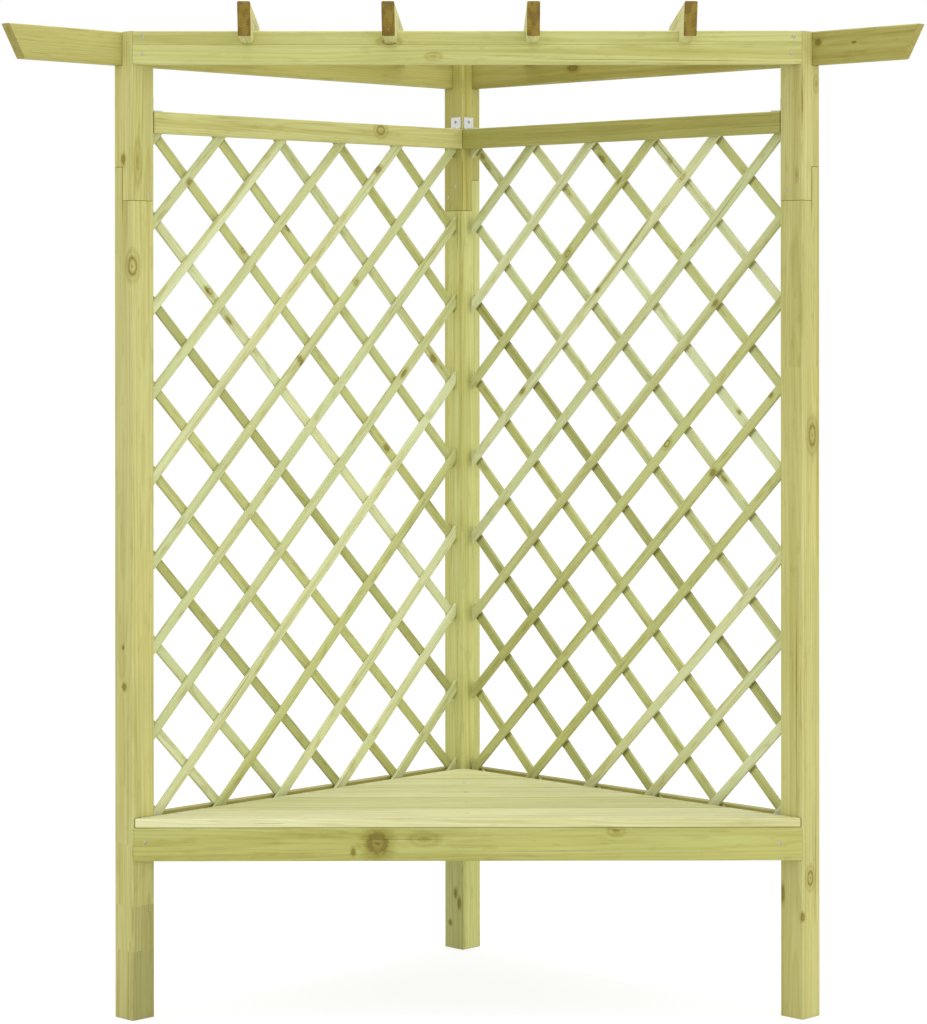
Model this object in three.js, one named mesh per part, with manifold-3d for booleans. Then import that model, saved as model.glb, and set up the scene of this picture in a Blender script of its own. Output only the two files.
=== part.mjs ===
// A corner arbour seat in pressure-treated pine: a triangular bench between two trellis walls that
// meet at a corner post, under an open roof of four rafters. Millimetres, +Z up. The origin is the
// middle of the corner post's foot, and the open front of the seat faces -Y.

import * as THREE from 'three';
import { mergeVertices } from 'three/addons/utils/BufferGeometryUtils.js';
import Module from 'manifold-3d';

const wasm = await Module();
wasm.setup();

// Clearances: between pieces that touch, and how far a saw cut runs past the wood
const fit = 0.3;
const overrun = 12;

// Posts: square timbers, each a long lower and a short upper piece joined by a half lap. The lap
// starts a drop below the top of the beams.
const postSide = 56;
const postArris = 3.5;
const wallSpan = 933;
const spliceDrop = 267;
const spliceLap = 67;
const upperTongue = 29.5;

// Top beams: one along each wall, housed in the outer side of the posts, with a raked tail
const beamTop = 1949;
const beamHeight = 66;
const beamThickness = 25;
const beamLength = 1242;
const beamRake = 38;
const beamArris = 3;

// Front top rail: mitred between the front posts, its top level with the beams
const frontRailHeight = 66;
const frontRailThickness = 25;
const frontRailArris = 3;

// Rafters: notched over the front rail and over a beam, with a raked end that overhangs the front.
// Each is placed by its front end and stands a little askew, by its slant to the right per length.
const rafterHeight = 64;
const rafterThickness = 25;
const rafterNotch = 24;
const rafterOverhang = 186;
const rafterRake = 38;
const rafterTail = 55;
const rafterArris = 3;
const rafterPlaceShares = [-0.652, -0.235, 0.187, 0.643];
const rafterSlants = [-0.017, 0.026, 0.024, 0.027];

// Trellis: diagonal laths between the posts, stapled on the back of a top rail and on the front of
// a bottom rail. The top rail hangs a drop below the beams, the bottom rail ends near the seat's top.
// The left panel's pattern is shifted a little towards the corner.
const topRailDrop = 90;
const bottomRailDrop = 1;
const trellisRailHeight = 43;
const trellisRailThickness = 18;
const trellisRailArris = 2;
const lathWidth = 19;
const lathThickness = 8;
const lathPitch = 119.5;
const lathInset = 4;
const lathBite = 0.5;
const rightPanelGap = 10;
const leftPanelShift = 8;

// Seat: equal boards across the front, cut off along the walls, on an apron and three bearers
const seatTop = 398;
const boardThickness = 18;
const boardCount = 5;
const boardGap = 2;
const boardArris = 2.5;
const boardEndGap = 3;
const bluntTip = 10;
const apronHeight = 66;
const apronThickness = 25;
const apronArris = 3;
const bearerHeight = 45;
const bearerThickness = 25;
const bearerArris = 2;

// Angle brackets: bent zinc plates that hold the trellis rails to the posts
const bracketWidth = 28;
const bracketLeg = 26;
const bracketThickness = 2;
const bracketBend = 4;
const bracketInset = 4;
const bracketHoleRadius = 2.4;
const bracketHoleShare = 0.6;
const bracketHoleSides = 12;

// Worked out from the sizes above
const halfPost = postSide / 2;
const beamFoot = beamTop - beamHeight;
const spliceHead = beamTop - spliceDrop;
const spliceFoot = spliceHead - spliceLap;
const frontPostReach = wallSpan * Math.SQRT1_2;
const frontFace = -frontPostReach - halfPost * Math.SQRT2;
const quarterTurn = Math.PI / 2;
const arrisSteps = 2;

const pine = { color: 0xc6c27c, roughness: 0.75, metalness: 0 };
const palePine = { color: 0xdedca6, roughness: 0.75, metalness: 0 };
const deepPine = { color: 0xb8b868, roughness: 0.78, metalness: 0 };
const zinc = { color: 0xc9ccc6, roughness: 0.4, metalness: 0.9 };

// A closed three.js geometry as a solid that can be cut, and back again
function solid(geometry) {
  geometry.deleteAttribute('normal');
  geometry.deleteAttribute('uv');
  const merged = mergeVertices(geometry);
  return new wasm.Manifold(new wasm.Mesh({
    numProp: 3,
    vertProperties: new Float32Array(merged.attributes.position.array),
    triVerts: new Uint32Array(merged.index.array),
  }));
}

function surface(body) {
  const { vertProperties, triVerts } = body.getMesh();
  const geometry = new THREE.BufferGeometry();
  geometry.setAttribute('position', new THREE.BufferAttribute(vertProperties, 3));
  geometry.setIndex(new THREE.BufferAttribute(triVerts, 1));
  return geometry;
}

function addPiece(parent, name, body, finish) {
  const mesh = new THREE.Mesh(surface(body), new THREE.MeshStandardMaterial(finish));
  mesh.name = name;
  parent.add(mesh);
  return mesh;
}

// The section of a planed timber, centred, with its four arrises rounded
function plannedSection(width, height, arris) {
  const x = width / 2 - arris;
  const y = height / 2 - arris;
  const section = new THREE.Shape();
  section.absarc(x, -y, arris, -quarterTurn, 0);
  section.absarc(x, y, arris, 0, quarterTurn);
  section.absarc(-x, y, arris, quarterTurn, 2 * quarterTurn);
  section.absarc(-x, -y, arris, 2 * quarterTurn, 3 * quarterTurn);
  return section;
}

// A timber that lies along X from one end to the other, its section centred on the X axis
function timber(start, end, width, height, arris) {
  const section = plannedSection(width, height, arris);
  const geometry = new THREE.ExtrudeGeometry(section, {
    depth: end - start,
    bevelEnabled: false,
    curveSegments: arrisSteps,
  });
  const alongX = new THREE.Matrix4().makeBasis(
    new THREE.Vector3(0, 1, 0),
    new THREE.Vector3(0, 0, 1),
    new THREE.Vector3(1, 0, 0),
  );
  return solid(geometry.applyMatrix4(alongX).translate(start, 0, 0));
}

// An outline seen from above, filled to a height on both sides of the XY plane
function planPrism(points, height) {
  const outline = new THREE.Shape(points.map(([x, y]) => new THREE.Vector2(x, y)));
  const geometry = new THREE.ExtrudeGeometry(outline, { depth: height, bevelEnabled: false });
  return solid(geometry.translate(0, 0, -height / 2));
}

// An outline seen from the side, filled to a width on both sides of the XZ plane
function sidePrism(outline, width) {
  const geometry = new THREE.ExtrudeGeometry(outline, {
    depth: width,
    bevelEnabled: false,
    curveSegments: arrisSteps,
  });
  return solid(geometry.rotateX(quarterTurn).translate(0, width / 2, 0));
}

function sideOutline(points) {
  return new THREE.Shape(points.map(([x, z]) => new THREE.Vector2(x, z)));
}

function block(low, high) {
  const [x, y, z] = high.map((value, axis) => value - low[axis]);
  const geometry = new THREE.BoxGeometry(x, y, z);
  return solid(geometry.translate(low[0] + x / 2, low[1] + y / 2, low[2] + z / 2));
}

// Posts. In a post's own frame +Y is the outer side, where the beam is housed, and the upper
// piece's tongue lies on the inner side, -Y.
const spliceFace = upperTongue - halfPost;
const housingFace = halfPost - beamThickness - fit;
const housingFloor = beamFoot - fit;
const pastPost = halfPost + overrun;

function post(foot, head) {
  const section = plannedSection(postSide, postSide, postArris);
  const geometry = new THREE.ExtrudeGeometry(section, {
    depth: head - foot,
    bevelEnabled: false,
    curveSegments: arrisSteps,
  });
  return solid(geometry.translate(0, 0, foot));
}

function lowerPost() {
  const lap = block(
    [-pastPost, -pastPost, spliceFoot],
    [pastPost, spliceFace + fit, spliceHead + overrun],
  );
  return post(0, spliceHead).subtract(lap);
}

function upperPost(isCornerPost) {
  const lap = block(
    [-pastPost, spliceFace, spliceFoot - overrun],
    [pastPost, pastPost, spliceHead + fit],
  );
  const housing = block(
    [-pastPost, housingFace, housingFloor],
    [pastPost, pastPost, beamTop + overrun],
  );
  const sideHousing = block(
    [-pastPost, -pastPost, housingFloor],
    [-housingFace, pastPost, beamTop + overrun],
  );
  const piece = post(spliceFoot + fit, beamTop).subtract(lap).subtract(housing);
  return isCornerPost ? piece.subtract(sideHousing) : piece;
}

function addPost(wall, name, place, isCornerPost) {
  const pieces = [
    addPiece(wall, `${name}_post_lower`, lowerPost(), pine),
    addPiece(wall, `${name}_post_upper`, upperPost(isCornerPost), pine),
  ];
  for (const piece of pieces) {
    piece.position.x = place;
    piece.rotation.z = isCornerPost ? -quarterTurn : 0;
  }
}

// Top beams. Both are sawn alike: square at the corner, raked back under the tail.
function topBeam() {
  const rakeRun = beamRake * (overrun / beamHeight);
  const low = -beamHeight / 2 - overrun;
  const high = beamHeight / 2 + overrun;
  const outline = sideOutline([
    [0, low],
    [beamLength - beamRake - rakeRun, low],
    [beamLength + rakeRun, high],
    [0, high],
  ]);
  const stock = timber(-overrun, beamLength + overrun, beamThickness, beamHeight, beamArris);
  return stock.intersect(sidePrism(outline, beamThickness + overrun));
}

function addBeam(wall, name, cornerEnd, turn) {
  const beam = addPiece(wall, name, topBeam(), pine);
  beam.position.set(cornerEnd, halfPost - beamThickness / 2, beamTop - beamHeight / 2);
  beam.rotation.z = turn;
}

// Trellis panels. In a wall's frame X runs from its left post to its right post as seen from the
// seat, and +Y is outward. The top rail is flush with the posts' inner faces.
const railStart = halfPost + fit;
const railEnd = wallSpan - halfPost - fit;
const topRailTop = beamFoot - topRailDrop;
const topRailFoot = topRailTop - trellisRailHeight;
const bottomRailTop = seatTop - bottomRailDrop;
const bottomRailFoot = bottomRailTop - trellisRailHeight;
const lathFace = trellisRailThickness - halfPost + fit;
const lathBack = lathFace + 2 * lathThickness - lathBite;
const bottomRailFace = lathBack + fit;

function addTrellisRail(wall, name, face, top) {
  const rail = timber(railStart, railEnd, trellisRailThickness, trellisRailHeight, trellisRailArris);
  const mesh = addPiece(wall, name, rail, pine);
  mesh.position.set(0, face + trellisRailThickness / 2, top - trellisRailHeight / 2);
}

// One layer of parallel laths at 45 degrees. They cross the other layer on the wall's centre line
// plus or minus half a mesh, along the lower edge of the top rail, moved by the panel's shift.
function lathLayer(slope, depth, shift) {
  const mesh = lathPitch * Math.SQRT2;
  const reach = topRailTop - bottomRailFoot + wallSpan;
  const copies = Math.ceil(reach / mesh);
  let layer = null;
  for (let step = -copies; step <= copies; step += 1) {
    const lath = new THREE.BoxGeometry(2 * reach * Math.SQRT2, lathThickness, lathWidth);
    lath.rotateY(-slope * (Math.PI / 4));
    lath.translate(wallSpan / 2 + shift + (step + 0.5) * mesh, depth, topRailFoot);
    layer = layer ? layer.add(solid(lath)) : solid(lath);
  }
  return layer;
}

function lattice(startGap, shift) {
  const front = lathFace + lathThickness / 2;
  const rear = lathBack - lathThickness / 2;
  const laths = lathLayer(1, front, shift).add(lathLayer(-1, rear, shift));
  const panel = block(
    [halfPost + startGap, lathFace - overrun, bottomRailFoot + lathInset],
    [railEnd, lathBack + overrun, topRailTop - lathInset],
  );
  return laths.intersect(panel);
}

// Angle brackets, folded from plate: one leg on the rail and one on the post, a hole in each
function bracket() {
  const inner = bracketBend - bracketThickness;
  const fold = new THREE.Shape();
  fold.moveTo(bracketLeg, 0);
  fold.lineTo(bracketLeg, bracketThickness);
  fold.lineTo(bracketBend, bracketThickness);
  fold.absarc(bracketBend, bracketBend, inner, -quarterTurn, -2 * quarterTurn, true);
  fold.lineTo(bracketThickness, bracketLeg);
  fold.lineTo(0, bracketLeg);
  fold.absarc(bracketBend, bracketBend, bracketBend, 2 * quarterTurn, 3 * quarterTurn);
  const drill = bracketThickness + 2 * overrun;
  const place = bracketLeg * bracketHoleShare;
  const railHole = new THREE.CylinderGeometry(
    bracketHoleRadius,
    bracketHoleRadius,
    drill,
    bracketHoleSides,
  );
  const postHole = railHole.clone();
  railHole.rotateX(quarterTurn).translate(place, 0, 0);
  postHole.rotateZ(quarterTurn).translate(0, 0, place);
  return sidePrism(fold, bracketWidth).subtract(solid(railHole)).subtract(solid(postHole));
}

function addBrackets(wall, side) {
  const ends = side === 'left' ? ['front', 'back'] : ['back', 'front'];
  const upperAcross = bracketInset + bracketWidth / 2 - halfPost;
  const lowerAcross = bottomRailFace + trellisRailThickness - bracketWidth / 2;
  const places = [railStart, railEnd];
  for (const [index, end] of ends.entries()) {
    const upper = addPiece(wall, `${side}_${end}_upper_bracket`, bracket(), zinc);
    upper.position.set(places[index], upperAcross, topRailTop + fit);
    upper.rotation.z = index * Math.PI;
    const lower = addPiece(wall, `${side}_${end}_lower_bracket`, bracket(), zinc);
    lower.position.set(places[index], lowerAcross, bottomRailFoot - fit);
    lower.rotation.set(Math.PI, 0, index * Math.PI);
  }
}

// Pieces that cross the front between the walls: their ends are sawn at 45 degrees, a gap off the
// posts' inner faces. Their own frame has the front face of the seat at y = 0.
function crossPiece(front, depth, height, arris, endGap) {
  const reach = (y) => frontPostReach - y - endGap * Math.SQRT2;
  const low = front - overrun / 2;
  const high = Math.min(front + depth + overrun / 2, frontPostReach - 2 * endGap);
  const plan = planPrism([
    [-reach(low), low],
    [reach(low), low],
    [reach(high), high],
    [-reach(high), high],
  ], height + overrun);
  const stock = timber(-reach(low), reach(low), depth, height, arris);
  return stock.translate(0, front + depth / 2, 0).intersect(plan);
}

function addCrossPiece(parent, name, body, top, height, finish) {
  const piece = addPiece(parent, name, body, finish);
  piece.position.set(0, frontFace, top - height / 2);
}

// Seat boards, from the front edge back to the corner; the last one ends in a blunt tip
const bearerTop = seatTop - boardThickness - fit;

function addSeatBoards(parent) {
  const apex = frontPostReach - 2 * boardEndGap;
  const pitch = (apex - bluntTip + boardGap) / boardCount;
  const width = pitch - boardGap;
  for (let index = 0; index < boardCount; index += 1) {
    const body = crossPiece(index * pitch, width, boardThickness, boardArris, boardEndGap);
    addCrossPiece(parent, `seat_board_${index + 1}`, body, seatTop, boardThickness, palePine);
  }
}

// Seat bearers: one against each wall, from the apron to a mitre at the corner, and one between
const bearerOuter = -halfPost - fit;
const bearerInner = bearerOuter - bearerThickness;

function addSideBearer(wall, name, isRight) {
  const apronBack = (apronThickness + fit) * Math.SQRT2 - postSide;
  const apronEnd = (y) => apronBack - y;
  const cornerEnd = (y) => wallSpan + y - fit * Math.SQRT1_2;
  const outer = bearerOuter + overrun / 2;
  const inner = bearerInner - overrun / 2;
  const seen = (x) => (isRight ? wallSpan - x : x);
  const plan = planPrism([
    [seen(apronEnd(outer)), outer],
    [seen(cornerEnd(outer)), outer],
    [seen(cornerEnd(inner)), inner],
    [seen(apronEnd(inner)), inner],
  ], bearerHeight + overrun);
  const stock = timber(-wallSpan, 2 * wallSpan, bearerThickness, bearerHeight, bearerArris);
  const body = stock.translate(0, bearerInner + bearerThickness / 2, 0).intersect(plan);
  const bearer = addPiece(wall, name, body, deepPine);
  bearer.position.z = bearerTop - bearerHeight / 2;
}

function addCenterBearer(parent) {
  const front = frontFace + apronThickness + fit;
  const point = (bearerInner - fit) * Math.SQRT2;
  const edge = (bearerThickness + overrun) / 2;
  const plan = planPrism([
    [front, -edge],
    [point - edge, -edge],
    [point, 0],
    [point - edge, edge],
    [front, edge],
  ], bearerHeight + overrun);
  const stock = timber(front - overrun, overrun, bearerThickness, bearerHeight, bearerArris);
  const bearer = addPiece(parent, 'center_seat_bearer', stock.intersect(plan), deepPine);
  bearer.rotation.z = quarterTurn;
  bearer.position.z = bearerTop - bearerHeight / 2;
}

// Rafters. In a rafter's own frame X runs back from its front end, which is at the origin, and its
// foot is at z = 0. The notches are cut square to the rail and along the beam, whatever its slant.
function rafterStock(end) {
  const rakeRun = rafterRake * (overrun / rafterHeight);
  const outline = sideOutline([
    [rafterRake + rakeRun, -overrun],
    [end, -overrun],
    [end, rafterHeight + overrun],
    [-rakeRun, rafterHeight + overrun],
  ]);
  const stock = timber(-overrun, end + overrun, rafterThickness, rafterHeight, rafterArris);
  return stock.translate(0, 0, rafterHeight / 2)
    .intersect(sidePrism(outline, rafterThickness + overrun));
}

function rafter(place, slant) {
  const tip = frontFace - rafterOverhang;
  const side = Math.sign(place);
  const wallLine = (x) => -side * x;
  const square = wallLine(place) + halfPost * Math.SQRT2 + rafterTail - tip;
  const end = square / (1 + side * slant);
  const turn = 90 - THREE.MathUtils.radToDeg(Math.atan(slant));
  const laid = rafterStock(end).rotate([0, 0, turn]).translate(place, tip, 0);
  const reach = rafterThickness + Math.abs(slant) * end + 2 * overrun;
  const railNotch = block(
    [place - reach, frontFace - fit, -overrun],
    [place + reach, frontFace + frontRailThickness + fit, rafterNotch + fit],
  );
  const near = (halfPost - beamThickness - fit) * Math.SQRT2;
  const far = (halfPost + fit) * Math.SQRT2;
  const beamNotch = planPrism([
    [place - reach, wallLine(place - reach) + near],
    [place + reach, wallLine(place + reach) + near],
    [place + reach, wallLine(place + reach) + far],
    [place - reach, wallLine(place - reach) + far],
  ], 2 * (rafterNotch + fit));
  return laid.subtract(railNotch).subtract(beamNotch);
}

function addRafters(parent) {
  for (const [index, share] of rafterPlaceShares.entries()) {
    const body = rafter(share * frontPostReach, rafterSlants[index]);
    const piece = addPiece(parent, `rafter_${index + 1}`, body, pine);
    piece.position.z = beamTop - rafterNotch;
  }
}

// The two walls stand at right angles: the left one runs back to the corner post, the right one
// runs forward from it
const arbour = new THREE.Group();
const leftWall = new THREE.Group();
const rightWall = new THREE.Group();
leftWall.position.set(-frontPostReach, -frontPostReach, 0);
leftWall.rotation.z = Math.PI / 4;
rightWall.rotation.z = -Math.PI / 4;
arbour.add(leftWall, rightWall);

addPost(leftWall, 'left_front', 0, false);
addPost(leftWall, 'back', wallSpan, true);
addPost(rightWall, 'right_front', wallSpan, false);

addBeam(rightWall, 'right_top_beam', -halfPost, 0);
addBeam(leftWall, 'left_top_beam', wallSpan + housingFace, Math.PI);

const panels = [
  { wall: leftWall, side: 'left', startGap: fit, shift: leftPanelShift },
  { wall: rightWall, side: 'right', startGap: rightPanelGap, shift: 0 },
];
for (const { wall, side, startGap, shift } of panels) {
  addTrellisRail(wall, `${side}_trellis_top_rail`, -halfPost, topRailTop);
  addTrellisRail(wall, `${side}_trellis_bottom_rail`, bottomRailFace, bottomRailTop);
  addPiece(wall, `${side}_lattice`, lattice(startGap, shift), palePine);
  addBrackets(wall, side);
  addSideBearer(wall, `${side}_seat_bearer`, wall === rightWall);
}

const frontRail = crossPiece(0, frontRailThickness, frontRailHeight, frontRailArris, fit);
addCrossPiece(arbour, 'front_top_rail', frontRail, beamTop, frontRailHeight, pine);
const apron = crossPiece(0, apronThickness, apronHeight, apronArris, fit);
addCrossPiece(arbour, 'seat_apron', apron, bearerTop, apronHeight, deepPine);
addCenterBearer(arbour);
addSeatBoards(arbour);
addRafters(arbour);

export default arbour;
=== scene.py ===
# A corner arbour seat of pressure-treated pine: three posts, a three-cornered bench, two trellis
# walls and an open roof of four rafters. Metres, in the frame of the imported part.

import math
import random

import bmesh
import bpy
from mathutils import Matrix, Vector


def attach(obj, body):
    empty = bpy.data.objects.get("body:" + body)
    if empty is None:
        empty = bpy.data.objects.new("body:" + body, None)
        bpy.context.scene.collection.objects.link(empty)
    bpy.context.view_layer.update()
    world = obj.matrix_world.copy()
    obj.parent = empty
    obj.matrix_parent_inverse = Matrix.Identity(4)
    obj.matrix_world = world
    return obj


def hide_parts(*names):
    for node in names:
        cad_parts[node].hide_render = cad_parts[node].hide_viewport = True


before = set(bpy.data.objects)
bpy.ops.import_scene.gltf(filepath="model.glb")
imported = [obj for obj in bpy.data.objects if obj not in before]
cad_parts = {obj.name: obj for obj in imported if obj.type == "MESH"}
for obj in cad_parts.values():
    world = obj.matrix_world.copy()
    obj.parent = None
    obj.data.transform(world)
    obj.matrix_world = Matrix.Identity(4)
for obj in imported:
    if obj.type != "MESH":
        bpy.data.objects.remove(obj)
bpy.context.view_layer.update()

# Posts: square timbers of planed softwood, pressure treated, so a pale yellow green. Each is a long
# lower and a short upper length, half lapped and screwed, and the beams are housed in the top.
POST_SIDE = 0.056
POST_ARRIS = 0.0035
WALL_SPAN = 0.933
FIT = 0.0003
SPLICE_FOOT, SPLICE_HEAD = 1.615, 1.682
SPLICE_FACE = 0.0015
HOUSING_FLOOR, HOUSING_FACE = 1.8827, 0.0027
BEAM_TOP = 1.949

# Working the timber: how much edges are eased, which of them are sharp and which run along the
# timber, and the spare length that is sawn off.
EASED_EDGE = 0.0005
ARRIS_STEPS = 3
SHARP_ANGLE = math.radians(35)
SAME_PLACE = 1e-6
ALONG_THE_BAR, ARRIS_TILT = 0.999, 0.15
SPARE_LENGTH = 0.05

# The log a timber comes from: how far outside the timber its pith lies, how much it leans, and how
# far apart its growth rings are and how they give way to a knot.
PITH_OUTSIDE, PITH_ASIDE = (0.004, 0.03), 0.5
LOG_LEAN, LOG_LENGTH = (0.02, 0.012), 9
RING_WIDTH, KNOT_PUSH, KNOT_REACH = 0.0046, 0.008, 2.4
LIVE_KNOTS = ("live_knot_a", "live_knot_b")
DEAD_KNOTS = ("dead_knot_a", "dead_knot_b", "dead_knot_c")
FAR_FROM_A_KNOT = Vector((40, 40, 40))
# How far below each crossing lath the painted shadow on the lath behind it lies
CROSSING_SHADOW_DROP = 0.003

HALF_POST = POST_SIDE / 2
REACH = WALL_SPAN * math.sqrt(0.5)
left_wall = Matrix.Translation((-REACH, -REACH, 0)) @ Matrix.Rotation(math.radians(45), 4, "Z")
right_wall = Matrix.Rotation(math.radians(-45), 4, "Z")
upright = Matrix(((0, 0, -1, 0), (0, 1, 0, 0), (1, 0, 0, 0), (0, 0, 0, 1)))


def planed_bar(start, end, thickness, width, arris):
    """A timber along X, centred on it, with its four long arrises rounded."""
    bar = bmesh.new()
    size = Matrix.Diagonal((end - start, thickness, width, 1))
    middle = Matrix.Translation(((start + end) / 2, 0, 0))
    bmesh.ops.create_cube(bar, size=1, matrix=middle @ size)
    round_arrises(bar, arris)
    return bar


def bevel(bar, edges, offset, steps=1):
    """Takes the edges off, flat in one step or round in more."""
    bmesh.ops.bevel(
        bar, geom=edges, offset=offset, segments=steps, profile=0.5, affect="EDGES", material=-1
    )


def round_arrises(bar, arris):
    """Rounds the edges that run along X on the outside of the section."""
    tops = [max(v.co[axis] for v in bar.verts) for axis in (1, 2)]
    arrises = []
    for edge in bar.edges:
        one, other = (v.co for v in edge.verts)
        level = (other - one).normalized()
        outside = abs(abs(one.y) - tops[0]) < FIT and abs(abs(one.z) - tops[1]) < FIT
        if abs(level.x) > ALONG_THE_BAR and outside:
            arrises.append(edge)
    bevel(bar, arrises, arris, ARRIS_STEPS)


def whole(bar):
    """All that a cut right through the timber can meet."""
    return bar.verts[:] + bar.edges[:] + bar.faces[:]


def saw(bar, place, off_cut):
    """Saws through the timber and drops the side that off_cut points to."""
    cut = bmesh.ops.bisect_plane(
        bar, geom=whole(bar), dist=SAME_PLACE, plane_co=place,
        plane_no=Vector(off_cut).normalized(), clear_outer=True,
    )
    rim = [e for e in cut["geom_cut"] if isinstance(e, bmesh.types.BMEdge)]
    if rim:
        bmesh.ops.edgeloop_fill(bar, edges=rim)


def leave_tongue(bar, end, tip, *shoulders):
    """Draws one end on to the tip, on the near side of each shoulder, given as (place, away)."""
    def end_grain():
        return [f for f in bar.faces if all(abs(v.co.x - end) < FIT / 2 for v in f.verts)]

    for place, away in shoulders:
        cap = end_grain()
        rim = list({e for f in cap for e in f.edges})
        corners = list({v for f in cap for v in f.verts})
        bmesh.ops.bisect_plane(
            bar, geom=cap + rim + corners, dist=SAME_PLACE, plane_co=place, plane_no=away
        )
    kept = [
        face for face in end_grain()
        if all(
            (face.calc_center_median() - Vector(place)).dot(Vector(away)) < 0
            for place, away in shoulders
        )
    ]
    drawn = bmesh.ops.extrude_face_region(bar, geom=kept)["geom"]
    tongue = [v for v in drawn if isinstance(v, bmesh.types.BMVert)]
    bmesh.ops.translate(bar, verts=tongue, vec=(tip - end, 0, 0))
    bmesh.ops.delete(bar, geom=[face for face in kept if face.is_valid], context="FACES")


def ease(bar, amount=EASED_EDGE):
    """Turns every face outwards and takes the sharpness off the sawn edges."""
    bmesh.ops.recalc_face_normals(bar, faces=bar.faces)
    if bar.calc_volume(signed=True) < 0:
        bmesh.ops.reverse_faces(bar, faces=bar.faces)
    bar.normal_update()
    sharp = [e for e in bar.edges if e.is_convex and e.calc_face_angle(0) > SHARP_ANGLE]
    bevel(bar, sharp, amount)


def hue(code):
    """A colour written as RRGGBB, as the renderer's own light values."""
    parts = [int(code[i:i + 2], 16) / 255 for i in (0, 2, 4)]
    return tuple(p / 12.92 if p <= 0.04045 else ((p + 0.055) / 1.055) ** 2.4 for p in parts)


def season(bar, name, colour, heart=None, live=(), dead=(), joints=(), tones_and_face_light=((1, 1),),
           end_stain=1.0, end_colour=None, arris=0.003, gap_shade=(0, 0), crossings=None):
    """Writes on each corner where it lay in the log, its colour, and how far off the knots are.

    A knot is (centre, radii) in the timber's own frame: a live one is grown in and shows as a ring,
    a dead one is dark, and a crack is a dead one drawn out thin. The joints are places along the
    timber where two lengths are finger jointed, and each length has its own log and a tone for its
    -Y and +Y faces and one for the others, which paints light and shade face by face. Gap shade is
    how dark the -Y and the +Y arrises are painted, as painted shade of the gap beside them. The
    crossings are how far apart laths lie across the -Y face, and a painted shadow lies beside them."""
    draw = random.Random(name)
    for place in joints:
        bmesh.ops.bisect_plane(
            bar, geom=whole(bar), dist=SAME_PLACE, plane_co=(place, 0, 0), plane_no=(1, 0, 0)
        )
    bar.normal_update()
    half = [max(abs(v.co[axis]) for v in bar.verts) for axis in (1, 2)]
    lengths = []
    for tone in tones_and_face_light:
        far = (half[0] + draw.uniform(*PITH_OUTSIDE)) * draw.choice((-1, 1))
        pith = heart or (far, half[1] * draw.uniform(-PITH_ASIDE, PITH_ASIDE))
        lean = [draw.uniform(-most, most) for most in LOG_LEAN]
        lengths.append((draw.uniform(0, LOG_LENGTH), pith, lean, tone))
    layers = {
        key: bar.loops.layers.float_vector.new(key)
        for key in ("grain", "colour", "edge", "crossing") + LIVE_KNOTS + DEAD_KNOTS
    }
    knots = list(zip(LIVE_KNOTS, live)) + list(zip(DEAD_KNOTS, dead))
    base, sawn_base = Vector(hue(colour)), Vector(hue(end_colour or colour))
    for face in bar.faces:
        middle = face.calc_center_median()
        shift, pith, lean, tone = lengths[sum(middle.x > place for place in joints)]
        is_sawn, is_side = abs(face.normal.x) > 0.5, abs(face.normal.y) < 0.5
        is_arris = not is_sawn and min(abs(face.normal.y), abs(face.normal.z)) > ARRIS_TILT
        for loop in face.loops:
            at = loop.vert.co
            loop[layers["grain"]] = (
                at.x + shift, at.y - pith[0] + at.x * lean[0], at.z - pith[1] + at.x * lean[1]
            )
            # The face's tone paints the light and shade that it takes
            loop[layers["colour"]] = (sawn_base if is_sawn else base) * tone[is_side]
            turn = min((abs(at[i + 1]) - half[i]) / arris + 1 for i in (0, 1)) if is_arris else 0
            turn = max(0, min(1, 2 * turn))
            # The third part is the painted shade of the gap beside a -Y or +Y arris
            loop[layers["edge"]] = (end_stain if is_sawn else 0, turn, turn * gap_shade[at.y > 0])
            # A rear lath counts the laths laid across it, for the painted shadow beside each
            if crossings and face.normal.y < 0.5:
                loop[layers["crossing"]] = ((at.x - CROSSING_SHADOW_DROP) / crossings + 0.5, 0, 0)
            for key in LIVE_KNOTS + DEAD_KNOTS:
                loop[layers[key]] = FAR_FROM_A_KNOT
            for key, (centre, radii) in knots:
                off = at - Vector(centre)
                loop[layers[key]] = [off[i] / radii[i] for i in range(3)]


def seat_piece(name, body, finish, slot, *nodes):
    """Makes the finished shape an object of the arbour, in place of its plain solid."""
    mesh = bpy.data.meshes.new(name)
    body.to_mesh(mesh)
    body.free()
    mesh.shade_smooth()
    mesh.set_sharp_from_angle(angle=SHARP_ANGLE)
    mesh.materials.append(finish)
    piece = bpy.data.objects.new(name, mesh)
    bpy.context.scene.collection.objects.link(piece)
    piece.modifiers.new("flat_faces", "WEIGHTED_NORMAL").keep_sharp = True
    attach(piece, "root")
    if nodes:
        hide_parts(*nodes)


class Signal:
    """What a node gives out, so that a sum on it can be written as a sum."""

    def __init__(self, finish, socket):
        self.finish = finish
        self.socket = socket

    def __add__(self, other):
        return self.finish.sum("ADD", self, other)

    def __sub__(self, other):
        return self.finish.sum("SUBTRACT", self, other)

    def __rsub__(self, other):
        return self.finish.sum("SUBTRACT", other, self)

    def __mul__(self, other):
        return self.finish.sum("MULTIPLY", self, other)

    def __truediv__(self, other):
        return self.finish.sum("DIVIDE", self, other)

    def __rtruediv__(self, other):
        return self.finish.sum("DIVIDE", other, self)

    __radd__ = __add__
    __rmul__ = __mul__

    def also(self, output):
        """Another output of the same node."""
        return Signal(self.finish, self.socket.node.outputs[output])


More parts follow.
